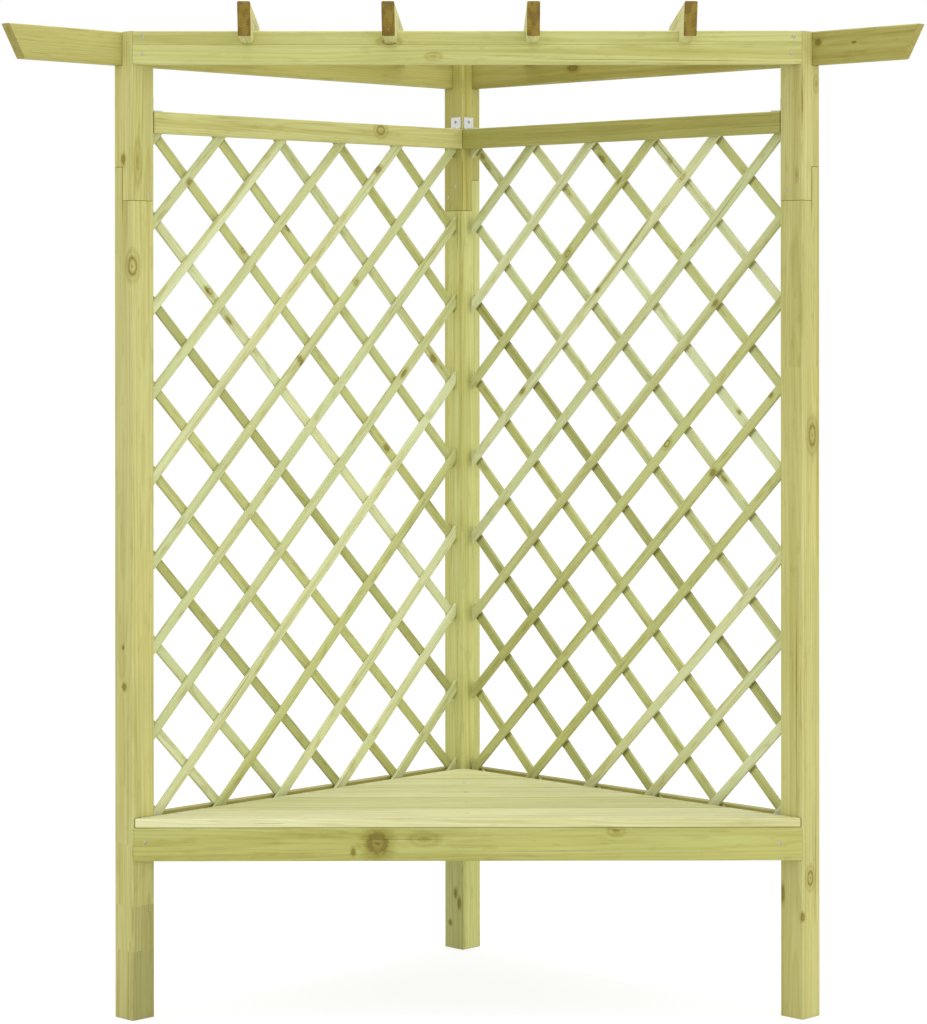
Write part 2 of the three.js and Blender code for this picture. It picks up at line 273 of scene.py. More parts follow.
class Finish:
    """The node tree of one material or of the world, and the one way to add a node to it."""

    def __init__(self, owner):
        owner.use_nodes = True
        self.owner = owner
        self.tree = owner.node_tree
        self.tree.nodes.clear()

    def node(self, kind, settings, sockets, output=0):
        """Adds a node: its settings first, then a value or a link for each socket."""
        node = self.tree.nodes.new(kind)
        for key, value in settings.items():
            if key == "stops":
                ramp = node.color_ramp
                ramp.elements.remove(ramp.elements[1])
                ramp.elements[0].position, ramp.elements[0].color = value[0]
                for place, colour in value[1:]:
                    ramp.elements.new(place).color = colour
            else:
                setattr(node, key, value)
        for key, value in sockets.items():
            if isinstance(value, Signal):
                self.tree.links.new(value.socket, node.inputs[key])
            else:
                node.inputs[key].default_value = value
        return Signal(self, node.outputs[output]) if node.outputs else None

    def sum(self, operation, one, other):
        """One step of arithmetic on two values."""
        return self.node("ShaderNodeMath", {"operation": operation}, {0: one, 1: other})

    def attribute(self, name):
        """What season wrote on the corners under this name."""
        return self.node("ShaderNodeAttribute", {"attribute_name": name}, {}, "Vector")

    def parts(self, vector):
        """The first part of a vector, which also gives the others."""
        return self.node("ShaderNodeSeparateXYZ", {}, {0: vector})

    def stretch(self, vector, scales):
        """A vector with each part multiplied by its own scale."""
        settings = {"operation": "MULTIPLY"}
        return self.node("ShaderNodeVectorMath", settings, {0: vector, 1: scales})

    def length(self, vector):
        """How long a vector is."""
        return self.node("ShaderNodeVectorMath", {"operation": "LENGTH"}, {0: vector}, "Value")

    def noise(self, place, scales, detail):
        """Cloudy noise, with its own fineness in each of the three directions."""
        sockets = {"Vector": self.stretch(place, scales), "Scale": 1, "Detail": detail}
        return self.node("ShaderNodeTexNoise", {}, sockets)

    def spread(self, value, low, high):
        """0 below low, 1 above high, and a smooth rise between them."""
        return self.node(
            "ShaderNodeMapRange",
            {"interpolation_type": "SMOOTHSTEP"},
            {"Value": value, "From Min": low, "From Max": high},
        )

    def tint(self, kind, share, under, over):
        """Lays a share of one colour over another, mixed or multiplied."""
        settings = {"data_type": "RGBA", "blend_type": kind}
        pair = [c if isinstance(c, Signal) else (*c, 1) for c in (under, over)]
        return self.node("ShaderNodeMix", settings, {0: share, 6: pair[0], 7: pair[1]}, 2)

    def surface(self, sockets):
        """Closes a material with its one shader."""
        shader = self.node("ShaderNodeBsdfPrincipled", {}, sockets)
        self.node("ShaderNodeOutputMaterial", {}, {"Surface": shader})
        return self.owner


def pine(name, figure, streaks, blotches, fine=1.0):
    """Treated pine, planed: growth rings, fibres, streaks of stain, knots and darker end grain,
    with a painted highlight on the arrises, painted shade by the gaps and painted shadows beside
    crossing laths.
    """
    wood = Finish(bpy.data.materials.new(name))
    log = wood.attribute("grain")
    sawn = wood.parts(wood.attribute("edge"))
    arris, gap_shaded = sawn.also(1), sawn.also(2)

    def nearest(layers):
        near = None
        for key in layers:
            off = wood.length(wood.attribute(key))
            near = off if near is None else wood.sum("MINIMUM", near, off)
        return near

    # Rings round the pith, bent by slow growth and pushed aside by a knot
    live, dead = nearest(LIVE_KNOTS), nearest(DEAD_KNOTS)
    away = wood.sum("MINIMUM", live, dead)
    radius = wood.length(wood.stretch(log, (0, 1, 1)))
    bend = wood.noise(log, (1.3, 16, 16), 2) * 0.018 + wood.noise(log, (6, 60, 60), 1) * 0.003
    radius = radius + bend + KNOT_PUSH / (1 + away * away)
    ring = wood.sum("FRACT", radius / RING_WIDTH, 0)
    late_wood = wood.node(
        "ShaderNodeValToRGB",
        {"stops": [(0, (0, 0, 0, 1)), (0.35, (0.06, 0.06, 0.06, 1)), (0.78, (0.9, 0.9, 0.9, 1)),
                   (0.9, (1, 1, 1, 1)), (1, (0, 0, 0, 1))]},
        {0: ring},
    )
    late = wood.parts(late_wood)
    # Fibres, threads and streaks run with the grain, and stain and blotches lie across it
    fibre = wood.noise(log, (16, 420 * fine, 420 * fine), 2)
    thread = wood.spread(wood.noise(log, (4, 330 * fine, 330 * fine), 2), 0.56, 0.72)
    streak = wood.spread(wood.noise(log, (0.9, 62, 62), 3), 0.46, 0.66)
    drift = wood.spread(wood.noise(log, (1.7, 21, 21), 2), 0.38, 0.66)
    stain = wood.spread(wood.noise(log, (3.4, 12, 12), 2), 0.42, 0.7)
    blotch = wood.spread(wood.noise(log, (21, 90, 90), 3 * fine), 0.56, 0.74)
    check = wood.spread(wood.noise(log, (1.1, 240 * fine, 240 * fine), 1), 0.735, 0.76)
    rings = late * (figure + sawn * 0.35)
    paint = wood.tint("MULTIPLY", rings, wood.attribute("colour"), (0.78, 0.73, 0.52))
    paint = wood.tint("MULTIPLY", drift * 0.5, paint, (0.97, 0.92, 0.74))
    paint = wood.tint("MULTIPLY", streak * streaks, paint, (0.78, 0.74, 0.54))
    paint = wood.tint("MULTIPLY", stain * 0.4, paint, (0.84, 0.85, 0.8))
    paint = wood.tint("MULTIPLY", blotch * blotches, paint, (0.66, 0.6, 0.38))
    paint = wood.tint("MULTIPLY", thread * 0.4, paint, (0.66, 0.6, 0.42))
    paint = wood.tint("MULTIPLY", fibre * 0.4, paint, (0.7, 0.68, 0.58))
    paint = wood.tint("MULTIPLY", check * 0.6, paint, (0.42, 0.36, 0.22))
    # A live knot is a thin dark ring round wood much like the rest, a dead one a dark ragged plug
    ragged = (wood.noise(log, (150, 260, 260), 3) - 0.5) * 0.9
    grown_in = wood.node(
        "ShaderNodeValToRGB",
        {"stops": [
            (0, (0.5, 0.42, 0.26, 1)), (0.07, (0.8, 0.74, 0.55, 1)),
            (0.2, (0.9, 0.86, 0.7, 1)), (0.3, (0.62, 0.54, 0.36, 1)),
            (0.36, (0.42, 0.35, 0.2, 1)), (0.43, (0.7, 0.64, 0.46, 1)),
            (0.55, (0.92, 0.9, 0.8, 1)), (0.66, (0.8, 0.76, 0.62, 1)), (0.9, (1, 1, 1, 1)),
        ]},
        {0: (live + ragged * 0.4) / KNOT_REACH},
    )
    plug = wood.node(
        "ShaderNodeValToRGB",
        {"stops": [
            (0, (0.36, 0.29, 0.15, 1)), (0.14, (0.62, 0.52, 0.3, 1)), (0.24, (0.5, 0.42, 0.24, 1)),
            (0.36, (0.44, 0.37, 0.2, 1)), (0.5, (0.74, 0.69, 0.48, 1)), (0.9, (1, 1, 1, 1)),
        ]},
        {0: (dead + ragged) / KNOT_REACH},
    )
    paint = wood.tint("MULTIPLY", 1.0, paint, grown_in)
    paint = wood.tint("MULTIPLY", 1.0, paint, plug)
    # Sawn ends drink more of the salts and dry darker. Arrises are rubbed pale, as wear and as a
    # painted highlight, and arrises by a gap take painted shade of the gap. A rear lath takes a
    # painted shadow just below each lath laid across it, where the count is half way to the next.
    dry = wood.spread(wood.noise(log, (40, 75, 34), 2), 0.42, 0.62)
    end_grain = wood.tint("MIX", dry, (0.55, 0.43, 0.26), (0.76, 0.64, 0.36))
    paint = wood.tint("MULTIPLY", sawn, paint, end_grain)
    # Wear and a painted highlight along the arrises
    worn_and_highlit = arris * wood.spread(wood.noise(log, (14, 90, 90), 2), 0.4, 0.65)
    paint = wood.tint("MIX", worn_and_highlit * 0.3, paint, hue("DCDAA6"))
    # Painted shade of the gap beside an arris
    paint = wood.tint("MULTIPLY", gap_shaded, paint, (0.5, 0.45, 0.3))
    # Painted shadow just below each lath laid across a rear lath
    crossing = wood.parts(wood.attribute("crossing"))
    beside = wood.spread(wood.sum("PINGPONG", crossing, 0.5), 0.37, 0.43)
    paint = wood.tint("MULTIPLY", beside, paint, (0.5, 0.47, 0.36))
    kerf = wood.noise(log, (700, 60, 700), 2) * sawn
    height = late * 0.05 + fibre * 0.06 - check * 0.5 - thread * 0.05 + kerf * 0.2
    relief = {"Strength": 0.5 * fine * fine, "Distance": 0.001, "Height": height}
    return wood.surface({
        "Base Color": paint, "Roughness": 0.56 + fibre * 0.16 + sawn * 0.12,
        "Normal": wood.node("ShaderNodeBump", {}, relief), "Specular IOR Level": 0.35,
    })


post_pine = pine("post_pine", 0.4, 0.6, 0.3)

# For each post: its place, then for its lower and its upper piece the colour, where the log's heart
# lies, the finger joints and for each length between them a tone for the -Y and +Y faces and one
# for the others, which paints light and shade face by face, and the knots, the cracks and the
# painted shade along the splice seams. In their frame x is the height, -y the face towards the
# seat and -z or +z the one beside it.
# The thin dark line painted along each splice seam: painted shade of the seam
SEAM_SHADOW_WIDTH = 0.0011
POSTS = {
    "left_front": (
        left_wall,
        {"colour": "D0CE88", "heart": (0.006, -0.009), "joints": (0.135, 0.224, 0.345),
         "tones_and_face_light": ((0.66, 0.94), (0.78, 0.98), (0.9, 1), (1, 1)),
         "live": [((1.486, -0.026, 0.027), (0.019, 0.011, 0.011))],
         "dead": [((0.656, -0.002, 0.028), (0.006, 0.005, 0.01)),
                  ((0.733, 0.001, 0.028), (0.004, 0.003, 0.01)),
                  ((1.646, 0.0019, 0.028), (0.045, SEAM_SHADOW_WIDTH, 0.006))]},
        {"colour": "D0CE88", "heart": (-0.008, 0.007), "tones_and_face_light": ((0.97, 1.08),),
         "live": [((1.690, 0, 0.014), (0.032, 0.028, 0.007))],
         "dead": [((1.697, -0.001, 0.028), (0.008, 0.005, 0.012))]},
    ),
    "back": (
        right_wall,
        {"colour": "D6D88E", "heart": (0.006, -0.009), "joints": (0.345,),
         "tones_and_face_light": ((0.76, 1.08), (1, 1.07)),
         "live": [((0.905, -0.028, 0.012), (0.013, 0.01, 0.009))],
         "dead": [((0.121, -0.028, -0.006), (0.008, 0.01, 0.004)),
                  ((0.100, -0.028, -0.017), (0.010, 0.01, 0.004)),
                  ((0.055, -0.028, 0.010), (0.005, 0.01, 0.004))]},
        {"colour": "C0BC6C", "heart": (-0.009, 0.0048), "tones_and_face_light": ((0.95, 1.08),),
         "dead": [((1.674, -0.027, -0.027), (0.054, 0.0005, 0.0005))]},
    ),
    "right_front": (
        right_wall @ Matrix.Translation((WALL_SPAN, 0, 0)),
        {"colour": "CECC86", "heart": (0.006, -0.009), "joints": (1.285,),
         "tones_and_face_light": ((1, 1), (0.99, 0.97)),
         "live": [((1.151, 0.003, -0.028), (0.022, 0.011, 0.01)),
                  ((0.276, -0.004, -0.028), (0.015, 0.009, 0.01))],
         "dead": [((0.242, -0.028, 0.022), (0.014, 0.01, 0.004)),
                  ((0.202, -0.027, -0.027), (0.007, 0.004, 0.004)),
                  ((1.646, 0.0019, -0.028), (0.045, SEAM_SHADOW_WIDTH, 0.006))]},
        {"colour": "D4D08C", "heart": (-0.006, 0.0095), "tones_and_face_light": ((0.9, 0.96),),
         "live": [((1.846, 0.0167, 0), (0.012, 0.007, 0.028)),
                  ((1.665, 0, -0.014), (0.010, 0.028, 0.003))],
         "dead": [((1.83, -0.027, -0.027), (0.045, 0.0013, 0.0013))]},
    ),
}
for name, (place, below, above) in POSTS.items():
    lower = planed_bar(0, SPLICE_FOOT, POST_SIDE, POST_SIDE, POST_ARRIS)
    leave_tongue(lower, SPLICE_FOOT, SPLICE_HEAD, ((0, SPLICE_FACE + FIT, 0), (0, -1, 0)))
    ease(lower)
    season(lower, name + "_lower", arris=POST_ARRIS, **below)
    lower.transform(place @ upright)
    node = name + "_post_lower"
    seat_piece(node + "_timber", lower, post_pine, "treated_pine", node)

    upper = planed_bar(SPLICE_HEAD + FIT, HOUSING_FLOOR, POST_SIDE, POST_SIDE, POST_ARRIS)
    leave_tongue(upper, SPLICE_HEAD + FIT, SPLICE_FOOT + FIT, ((0, SPLICE_FACE, 0), (0, 1, 0)))
    shoulders = [((0, HOUSING_FACE, 0), (0, 1, 0))]
    if name == "back":
        shoulders.append(((0, 0, HOUSING_FACE), (0, 0, 1)))
    leave_tongue(upper, HOUSING_FLOOR, BEAM_TOP, *shoulders)
    ease(upper)
    season(upper, name + "_above", arris=POST_ARRIS, **above)
    upper.transform(place @ upright)
    node = name + "_post_upper"
    seat_piece(node + "_timber", upper, post_pine, "treated_pine", node)

# Seat apron: a planed board across the front under the seat, mitred between the front posts and
# held by a screw at each end. The cross piece that it makes serves for the other mitred boards.
FRONT_FACE = -REACH - HALF_POST * math.sqrt(2)
SEAT_TOP = 0.398
BOARD_THICKNESS = 0.018
BEARER_TOP = SEAT_TOP - BOARD_THICKNESS - FIT
APRON_HEIGHT, APRON_THICKNESS, APRON_ARRIS = 0.066, 0.025, 0.003


def cross_piece(front, depth, height, arris, end_gap):
    """A board across the front, both ends sawn at 45 degrees to lie against the walls."""
    reach = REACH - front - depth / 2 - end_gap * math.sqrt(2)
    board = planed_bar(-reach - depth, reach + depth, depth, height, arris)
    saw(board, (reach, 0, 0), (1, 1, 0))
    saw(board, (-reach, 0, 0), (-1, 1, 0))
    return board


def cross_place(front, depth, height, top):
    """The place of a board across the front, so far back from the front face."""
    return Matrix.Translation((0, FRONT_FACE + front + depth / 2, top - height / 2))


deep_pine = pine("deep_pine", 0.4, 0.6, 0.3)
apron = cross_piece(0, APRON_THICKNESS, APRON_HEIGHT, APRON_ARRIS, FIT)
ease(apron)
season(apron, "seat_apron", "C5C678", heart=(0.03, 0.005), live=[
    ((-0.086, 0.0195, 0.010), (0.022, 0.03, 0.010)),
    ((0.292, 0.0165, 0.026), (0.012, 0.03, 0.008)),
], dead=[
    ((-0.178, -0.0125, 0.002), (0.021, 0.03, 0.021)),
    ((-0.226, -0.0125, -0.014), (0.004, 0.02, 0.006)),
])
apron.transform(cross_place(0, APRON_THICKNESS, APRON_HEIGHT, BEARER_TOP))
seat_piece("seat_apron_timber", apron, deep_pine, "treated_pine_deep", "seat_apron")

# Seat bearers: rails on edge that carry the boards, one screwed to each wall's posts and mitred at
# the corner, and one from the apron to the corner, pointed to fit between them.
BEARER_HEIGHT, BEARER_THICKNESS, BEARER_ARRIS = 0.045, 0.025, 0.002
BEARER_INNER = -HALF_POST - FIT - BEARER_THICKNESS
bearer_middle = BEARER_INNER + BEARER_THICKNESS / 2
bearer_level = BEARER_TOP - BEARER_HEIGHT / 2
apron_back = (APRON_THICKNESS + FIT) * math.sqrt(2) - POST_SIDE
mitre_gap = FIT * math.sqrt(0.5)

# For each side its wall, the bearer's ends by the apron and in the corner, and which way it runs
for name, wall, front_end, corner_end, turn in (
    ("left", left_wall, apron_back - bearer_middle, WALL_SPAN + bearer_middle - mitre_gap, 1),
    ("right", right_wall, WALL_SPAN - apron_back + bearer_middle, mitre_gap - bearer_middle, -1),
):
    low, high = sorted((front_end, corner_end))
    bearer = planed_bar(
        low - SPARE_LENGTH, high + SPARE_LENGTH, BEARER_THICKNESS, BEARER_HEIGHT, BEARER_ARRIS
    )
    saw(bearer, (front_end, 0, 0), (-turn, -1, 0))
    saw(bearer, (corner_end, 0, 0), (turn, -1, 0))
    ease(bearer)
    season(bearer, name + "_bearer", "B8B66C", arris=BEARER_ARRIS)
    bearer.transform(wall @ Matrix.Translation((0, bearer_middle, bearer_level)))
    node = name + "_seat_bearer"
    seat_piece(node + "_timber", bearer, deep_pine, "treated_pine_deep", node)

bearer_front = FRONT_FACE + APRON_THICKNESS + FIT
bearer_point = (BEARER_INNER - FIT) * math.sqrt(2)
bearer = planed_bar(
    bearer_front, bearer_point + SPARE_LENGTH, BEARER_THICKNESS, BEARER_HEIGHT, BEARER_ARRIS
)
saw(bearer, (bearer_point, 0, 0), (1, 1, 0))
saw(bearer, (bearer_point, 0, 0), (1, -1, 0))
ease(bearer)
season(bearer, "center_bearer", "B6B26A", arris=BEARER_ARRIS)
toward_corner = Matrix.Rotation(math.radians(90), 4, "Z")
bearer.transform(Matrix.Translation((0, 0, bearer_level)) @ toward_corner)
node = "center_seat_bearer"
seat_piece(node + "_timber", bearer, deep_pine, "treated_pine_deep", node)

# Seat boards: five planed boards of equal width, laid across with a narrow gap and sawn off along
# the walls. They take the light from above, and that light is painted into their colours as well,
# so they are the palest wood of the seat.
BOARD_GAP, BOARD_ARRIS, BOARD_END_GAP, BLUNT_TIP = 0.002, 0.0025, 0.003, 0.010

# For each board its colour, and the tone of its front edge and that of its top, which paint light
# on them: the front board's edge lighter and its top darker
BOARDS = (
    ("E2E3B4", 1.08, 0.94), ("CED098", 1, 1), ("D8DAA6", 1, 1), ("DCDEA8", 1, 1), ("EBEDB9", 1, 1),
)
board_pitch = (REACH - 2 * BOARD_END_GAP - BLUNT_TIP + BOARD_GAP) / len(BOARDS)
board_width = board_pitch - BOARD_GAP

board_pine = pine("board_pine", 0.36, 0.5, 0.25)
for index, (colour, edge, top) in enumerate(BOARDS):
    front = index * board_pitch
    board = cross_piece(front, board_width, BOARD_THICKNESS, BOARD_ARRIS, BOARD_END_GAP)
    ease(board)
    # The arrises along the gaps between boards, and behind the last, take painted shade of the gap
    season(
        board, f"seat_board_{index}", colour, heart=(0.01 * (index - 2), -0.04),
        tones_and_face_light=((edge, top),), arris=BOARD_ARRIS, gap_shade=(0.6 if index else 0, 0.6),
    )
    board.transform(cross_place(front, board_width, BOARD_THICKNESS, SEAT_TOP))
    node = f"seat_board_{index + 1}"
    seat_piece(node + "_timber", board, board_pine, "treated_pine_pale", node)

# Trellis rails: slim planed rails between the posts. The top one lies inside the laths, flush with
# the posts, and the bottom one behind them, close to the seat.
RAIL_HEIGHT, RAIL_THICKNESS, RAIL_ARRIS = 0.043, 0.018, 0.002
RAIL_START, RAIL_END = HALF_POST + FIT, WALL_SPAN - HALF_POST - FIT
TOP_RAIL_TOP, BOTTOM_RAIL_TOP = 1.793, 0.397
LATH_THICKNESS, LATH_BITE, LAYER_GAP = 0.008, 0.0005, 0.0001
LATH_FACE = RAIL_THICKNESS - HALF_POST + FIT
LATH_BACK = LATH_FACE + 2 * LATH_THICKNESS - LATH_BITE
BOTTOM_RAIL_FACE = LATH_BACK + FIT

# For each rail its wall, how far out its inner face lies, its top, its colour and its live knots
TRELLIS_RAILS = (
    ("left_trellis_top_rail", left_wall, -HALF_POST, TOP_RAIL_TOP, "D5D490",
     [((0.656, -0.009, 0.009), (0.012, 0.02, 0.010))]),
    ("right_trellis_top_rail", right_wall, -HALF_POST, TOP_RAIL_TOP, "B2B066", []),
    ("left_trellis_bottom_rail", left_wall, BOTTOM_RAIL_FACE, BOTTOM_RAIL_TOP, "BAB66E", []),
    ("right_trellis_bottom_rail", right_wall, BOTTOM_RAIL_FACE, BOTTOM_RAIL_TOP, "BAB66E", []),
)
for node, wall, face, top, colour, live in TRELLIS_RAILS:
    rail = planed_bar(RAIL_START, RAIL_END, RAIL_THICKNESS, RAIL_HEIGHT, RAIL_ARRIS)
    ease(rail)
    season(rail, node, colour, live=live, arris=RAIL_ARRIS)
    rail.transform(wall @ Matrix.Translation((0, face + RAIL_THICKNESS / 2, top - RAIL_HEIGHT / 2)))
    seat_piece(node + "_timber", rail, post_pine, "treated_pine", node)

# Lattice: thin planed laths in two layers at 45 degrees, stapled where they cross and to the
# rails, and sawn off in line with the posts. Their colour varies a good deal from lath to lath.
LATH_WIDTH, LATH_ARRIS, LATH_EASED_EDGE = 0.019, 0.001, 0.0003
LATH_PITCH = 0.1195
LATH_MESH = LATH_PITCH * math.sqrt(2)
PANEL_FOOT, PANEL_HEAD = 0.358, 1.789
RIGHT_PANEL_GAP = 0.010
LEFT_PANEL_SHIFT = 0.008
CROSSING_LEVEL = TOP_RAIL_TOP - RAIL_HEIGHT
LATH_SPAN = PANEL_HEAD - PANEL_FOOT + WALL_SPAN
LATH_COPIES = math.ceil(LATH_SPAN / LATH_MESH)

lath_pine = pine("lath_pine", 0.18, 0.6, 0.5, fine=0.4)
LATH_SHADES = {"pale": "E1E8BA", "fair": "D3DAA4", "dull": "CBD190", "deep": "B8BD79"}
LATH_KNOTS, LATH_KNOT_ASIDE, LATH_KNOT_DEPTH = 3, 0.007, 0.01
LATH_KNOT_LENGTH, LATH_KNOT_WIDTH = (0.004, 0.010), (0.003, 0.006)
LATH_PITH_ASIDE, LATH_PITH_BEHIND = 0.03, 0.02


def lath_layer(name, slope, depth, thickness, panel_start, shift, first, shades):
    """One layer of parallel laths of a wall, each from a length of wood of its own."""
    layer = bmesh.new()
    draw = random.Random(name)
    bounds = (
        ((panel_start, 0, 0), (-1, 0, 0)), ((RAIL_END, 0, 0), (1, 0, 0)),
        ((0, 0, PANEL_FOOT), (0, 0, -1)), ((0, 0, PANEL_HEAD), (0, 0, 1)),
    )
    for step in range(-LATH_COPIES, LATH_COPIES + 1):
        middle = Vector((WALL_SPAN / 2 + shift + (step + 0.5) * LATH_MESH, depth, CROSSING_LEVEL))
        place = Matrix.Translation(middle) @ Matrix.Rotation(-slope * math.radians(45), 4, "Y")
        lath = planed_bar(-2 * LATH_SPAN, 2 * LATH_SPAN, thickness, LATH_WIDTH, LATH_ARRIS)
        back = place.inverted()
        for point, off_cut in bounds:
            saw(lath, back @ Vector(point), back.to_3x3() @ Vector(off_cut))
        if lath.faces:
            ease(lath, LATH_EASED_EDGE)
            knots = [
                ((draw.uniform(-1, 1), -thickness / 2,
                  draw.uniform(-LATH_KNOT_ASIDE, LATH_KNOT_ASIDE)),
                 (draw.uniform(*LATH_KNOT_LENGTH), LATH_KNOT_DEPTH,
                  draw.uniform(*LATH_KNOT_WIDTH)))
                for _ in range(LATH_KNOTS)
            ]
            shade = shades[min(max(step - first, 0), len(shades) - 1)]
            pith = (draw.uniform(-LATH_PITH_ASIDE, LATH_PITH_ASIDE), LATH_PITH_BEHIND)
            # Rear laths take a painted shadow beside each lath laid across them
            season(
                lath, f"{name}_{step}", LATH_SHADES[shade], heart=pith, live=knots[:1],
                dead=knots[1:], arris=LATH_ARRIS, crossings=LATH_PITCH if slope < 0 else None,
            )
            lath.transform(place)
            length = bpy.data.meshes.new("lath")
            lath.to_mesh(length)
            layer.from_mesh(length)
            bpy.data.meshes.remove(length)
        lath.free()
    return layer


left_panel = ("left_lattice", left_wall, RAIL_START, LEFT_PANEL_SHIFT)
right_panel = ("right_lattice", right_wall, HALF_POST + RIGHT_PANEL_GAP, 0)

# For each layer its panel, its slope, the count of its first lath and the shade of every lath
LATH_LAYERS = (
    ("left_front_laths", left_panel, 1, -2,
     "fair pale fair pale fair fair fair pale dull pale pale fair"),
    ("left_rear_laths", left_panel, -1, -10,
     "pale fair deep dull dull deep pale dull dull fair dull dull"),
    ("right_front_laths", right_panel, 1, -2,
     "fair pale dull pale fair fair dull dull dull pale pale"),
    ("right_rear_laths", right_panel, -1, -10,
     "dull deep deep dull dull deep fair fair pale dull pale dull"),
)
for name, (node, wall, start, shift), slope, first, shades in LATH_LAYERS:
    face = LATH_FACE if slope > 0 else LATH_FACE + LATH_THICKNESS + LAYER_GAP
    back = LATH_FACE + LATH_THICKNESS if slope > 0 else LATH_BACK
    laths = lath_layer(
        name, slope, (face + back) / 2, back - face, start, shift, first, shades.split()
    )
    laths.transform(wall)
    seat_piece(name, laths, lath_pine, "treated_pine_pale", node)

# Top beams: planed timbers along the walls, housed in the outer side of the posts and screwed, and
# sawn back under the tail that sails past the front post.
BEAM_HEIGHT, BEAM_THICKNESS, BEAM_LENGTH = 0.066, 0.025, 1.242
BEAM_RAKE, BEAM_ARRIS = 0.038, 0.003
beam_out = HALF_POST - BEAM_THICKNESS / 2
beam_level = BEAM_TOP - BEAM_HEIGHT / 2
half_turn = Matrix.Rotation(math.pi, 4, "Z")

# For each beam its wall, where its corner end lies, the turn that points it forward, its colour,
# how dark its end is, and its dead knots
TOP_BEAMS = (
    ("left_top_beam", left_wall, WALL_SPAN + HOUSING_FACE, half_turn, "C3BF73", 0.45, []),
    ("right_top_beam", right_wall, -HALF_POST, Matrix(), "B2AC5E", 0.2,
     [((1.004, -0.0125, 0.011), (0.006, 0.02, 0.005)),
      ((1.092, -0.0125, 0.006), (0.005, 0.02, 0.002)),
      ((0.353, -0.0125, -0.004), (0.013, 0.02, 0.006))]),
)
for node, wall, corner_end, turn, colour, end_stain, dead in TOP_BEAMS:
    beam = planed_bar(0, BEAM_LENGTH + BEAM_RAKE, BEAM_THICKNESS, BEAM_HEIGHT, BEAM_ARRIS)
    saw(beam, (BEAM_LENGTH, 0, BEAM_HEIGHT / 2), (BEAM_HEIGHT, 0, -BEAM_RAKE))
    ease(beam)
    season(beam, node, colour, dead=dead, end_stain=end_stain)
    beam.transform(wall @ Matrix.Translation((corner_end, beam_out, beam_level)) @ turn)
    seat_piece(node + "_timber", beam, post_pine, "treated_pine", node)

# Front top rail: mitred between the front posts, its top level with the beams, two screws an end.
FRONT_RAIL_HEIGHT, FRONT_RAIL_THICKNESS, FRONT_RAIL_ARRIS = 0.066, 0.025, 0.003
front_rail = cross_piece(0, FRONT_RAIL_THICKNESS, FRONT_RAIL_HEIGHT, FRONT_RAIL_ARRIS, FIT)
ease(front_rail)
season(front_rail, "front_top_rail", "D2D48E", heart=(0.03, 0.01), live=[
    ((-0.154, -0.0125, 0.011), (0.014, 0.02, 0.006)),
    ((-0.067, 0.0085, -0.018), (0.012, 0.02, 0.006)),
], dead=[((0, -0.0125, 0.006), (0.75, 0.03, 0.00022))])
front_rail.transform(cross_place(0, FRONT_RAIL_THICKNESS, FRONT_RAIL_HEIGHT, BEAM_TOP))
seat_piece("front_top_rail_timber", front_rail, post_pine, "treated_pine", "front_top_rail")

# Rafters: four timbers on edge, notched over the front rail and over a beam, which they cross at
# 45 degrees. Their raked front ends show end grain, which the salts have stained brown.
RAFTER_HEIGHT, RAFTER_THICKNESS, RAFTER_NOTCH = 0.064, 0.025, 0.024
RAFTER_OVERHANG, RAFTER_RAKE, RAFTER_TAIL, RAFTER_ARRIS = 0.186, 0.038, 0.055, 0.003
RAFTER_TIP = FRONT_FACE - RAFTER_OVERHANG

# For each rafter: the place of its front end, its slant to the right per length, and its colour
RAFTERS = (
    (-0.652 * REACH, -0.017, "DADA98"),
    (-0.235 * REACH, 0.026, "DADA98"),
    (0.187 * REACH, 0.024, "DADA98"),
    (0.643 * REACH, 0.027, "DADA98"),
)


def rafter(place, slant):
    """The side outline, drawn out to the thickness, its notches cut along the rail and the beam."""
    side, ahead = math.copysign(1, place), math.cos(math.atan(slant))
    square = -abs(place) - RAFTER_TIP
    end = (square + HALF_POST * math.sqrt(2) + RAFTER_TAIL) / (1 + side * slant)
    foot, top = -RAFTER_HEIGHT / 2, RAFTER_HEIGHT / 2
    step = foot + RAFTER_NOTCH + FIT
    rail_notch = [(RAFTER_OVERHANG + back) / ahead for back in (-FIT, FRONT_RAIL_THICKNESS + FIT)]
    beam_notch = [
        (square + out * math.sqrt(2)) / (ahead * (1 + side * slant))
        for out in (HOUSING_FACE, HALF_POST + FIT)
    ]
    outline = [(RAFTER_RAKE, foot)]
    for near, far in (rail_notch, beam_notch):
        outline += [(near, foot), (near, step), (far, step), (far, foot)]
    outline += [(end, foot), (end, top), (0, top)]
    bar = bmesh.new()
    corners = [bar.verts.new((x, -RAFTER_THICKNESS / 2, z)) for x, z in outline]
    cheek = bar.faces.new(corners)
    drawn = bmesh.ops.extrude_face_region(bar, geom=[cheek], use_keep_orig=True)["geom"]
    far_side = [v for v in drawn if isinstance(v, bmesh.types.BMVert)]
    bmesh.ops.translate(bar, verts=far_side, vec=(0, RAFTER_THICKNESS, 0))
    for corner in bar.verts:
        if any(abs(corner.co.x - line) < FIT / 10 for line in rail_notch):
            corner.co.x -= slant * corner.co.y
        elif any(abs(corner.co.x - line) < FIT / 10 for line in beam_notch):
            corner.co.x += (side - slant) / (1 + side * slant) * corner.co.y
    bmesh.ops.recalc_face_normals(bar, faces=bar.faces)
    round_arrises(bar, RAFTER_ARRIS)
    return bar


for index, (place, slant, colour) in enumerate(RAFTERS):
    bar = rafter(place, slant)
    ease(bar)
    season(bar, f"rafter_{index}", colour, heart=(0.004 * (index - 1), 0.02), end_colour="B3A760")
    level = BEAM_TOP - RAFTER_NOTCH + RAFTER_HEIGHT / 2
    turn = Matrix.Rotation(math.radians(90) - math.atan(slant), 4, "Z")
    bar.transform(Matrix.Translation((place, RAFTER_TIP, level)) @ turn)
    node = f"rafter_{index + 1}"
    seat_piece(node + "_timber", bar, post_pine, "treated_pine", node)


